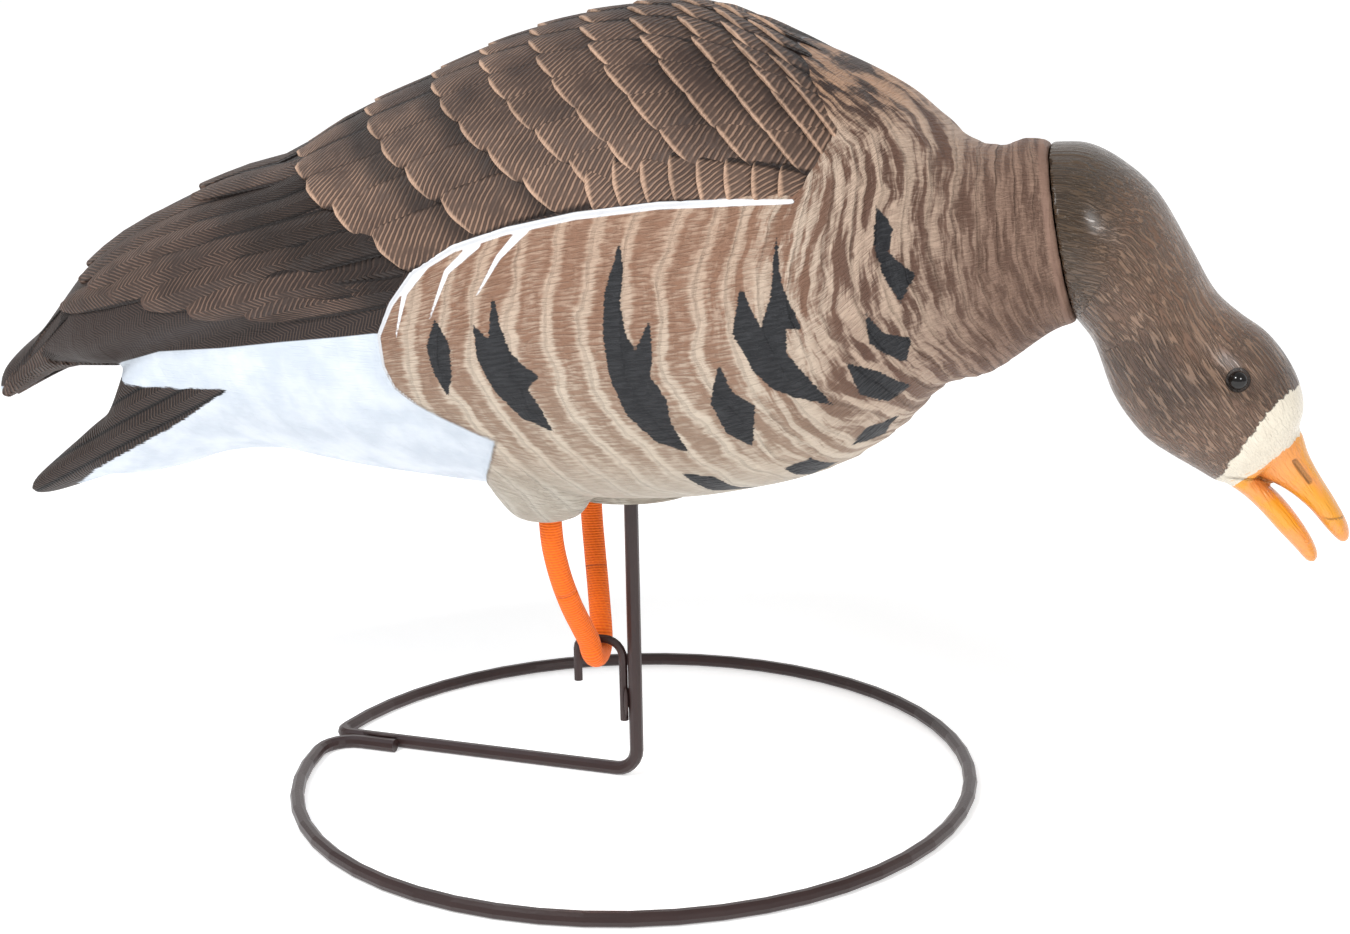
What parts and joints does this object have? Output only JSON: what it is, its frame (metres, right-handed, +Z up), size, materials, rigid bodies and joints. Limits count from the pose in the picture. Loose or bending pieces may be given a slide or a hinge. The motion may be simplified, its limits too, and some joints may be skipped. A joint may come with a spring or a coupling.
{
  "type": "goose feeder decoy",
  "caption": "Hollow goose decoy in a feeding pose that rocks and swivels on a bent-rod ring stand, with elastic cord legs and a turning head.",
  "frame": {"origin": "on the ground, below the middle of the object's length and width", "axes": "+X towards the bill, +Y to the bird's left, +Z up"},
  "size_m": [0.6159, 0.3108, 0.3433],
  "materials": {
    "body_plastic": "matte, hand painted",
    "head_plastic": "satin, hand painted",
    "eye_glass": "gloss",
    "cone_nylon": "matte",
    "cap_nylon": "satin",
    "leg_cord": "woven cover",
    "washer_nylon": "satin",
    "powder_coat": "semi-gloss powder coat",
    "screw_steel": "plain"
  },
  "bodies": {
    "base": {"base_rod": "powder_coat", "leg_hook": "powder_coat", "ring_weld": "powder_coat", "hook_weld_left": "powder_coat", "hook_weld_right": "powder_coat"},
    "tip": {"stake_tip_cap": "cap_nylon"},
    "decoy": {"body_shell": "body_plastic", "motion_cone": "cone_nylon", "cone_screw_1": "screw_steel", "cone_screw_2": "screw_steel", "cone_screw_3": "screw_steel", "cone_screw_4": "screw_steel", "leg_cord": "leg_cord", "cord_knot_left": "leg_cord", "cord_knot_right": "leg_cord", "cord_washer_left": "washer_nylon", "cord_washer_right": "washer_nylon"},
    "head": {"head_shell": "head_plastic", "eye_left": "eye_glass", "eye_right": "eye_glass"}
  },
  "joints": [
    {"name": "body_swivel", "type": "hinge", "parent": "base", "child": "tip", "pos_m": [0.0075, 0, 0.2815], "axis": [0, 0, 1], "range_deg": [-35, 35], "stiffness_Nm_per_rad": 0.3, "deforming": ["leg_cord"]},
    {"name": "body_rock", "type": "hinge", "parent": "tip", "child": "decoy", "pos_m": [0.0075, 0, 0.2815], "axis": [0, 1, 0], "range_deg": [-5, 5], "stiffness_Nm_per_rad": 3, "springref_deg": 1.72, "deforming": ["leg_cord"]},
    {"name": "head_turn", "type": "hinge", "parent": "decoy", "child": "head", "pos_m": [0.19225, 0, 0.2515], "axis": [0.9833, 0, 0.1822], "range_deg": [-40, 40]}
  ]
}
